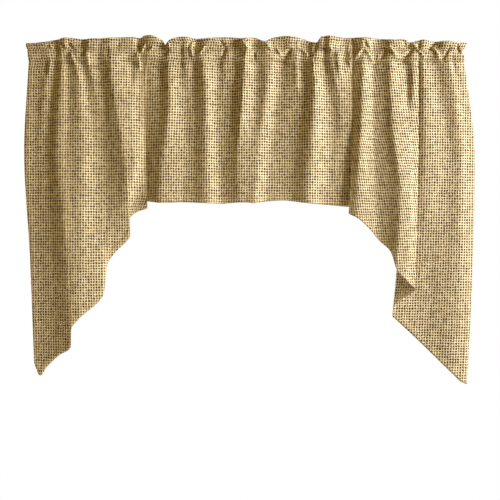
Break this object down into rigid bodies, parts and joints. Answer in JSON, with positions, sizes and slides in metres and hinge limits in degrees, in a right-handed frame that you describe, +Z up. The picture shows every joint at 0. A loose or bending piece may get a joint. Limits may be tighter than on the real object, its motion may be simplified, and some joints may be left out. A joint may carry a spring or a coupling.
{
  "type": "window swag and valance set",
  "caption": "Rod-pocket window swag set in coarse tan woven cloth: a long swag on each side of a straight valance, with a ruffled heading and soft uneven folds.",
  "frame": {"origin": "on the centre line of the rod pocket, near the middle of its length", "axes": "+X to the right as seen from the room, +Y from the room towards the window, +Z up"},
  "size_m": [1.2382, 0.0484, 0.9615],
  "materials": {
    "swag_cloth": "matt coarse basket weave, tan",
    "valance_cloth": "matt coarse basket weave, tan",
    "heading_cloth": "matt coarse basket weave, tan, gathered and stitched"
  },
  "bodies": {
    "root": {"left_swag": "swag_cloth", "left_heading": "heading_cloth", "centre_valance": "valance_cloth", "centre_heading": "heading_cloth", "right_swag": "swag_cloth", "right_heading": "heading_cloth"}
  },
  "joints": []
}
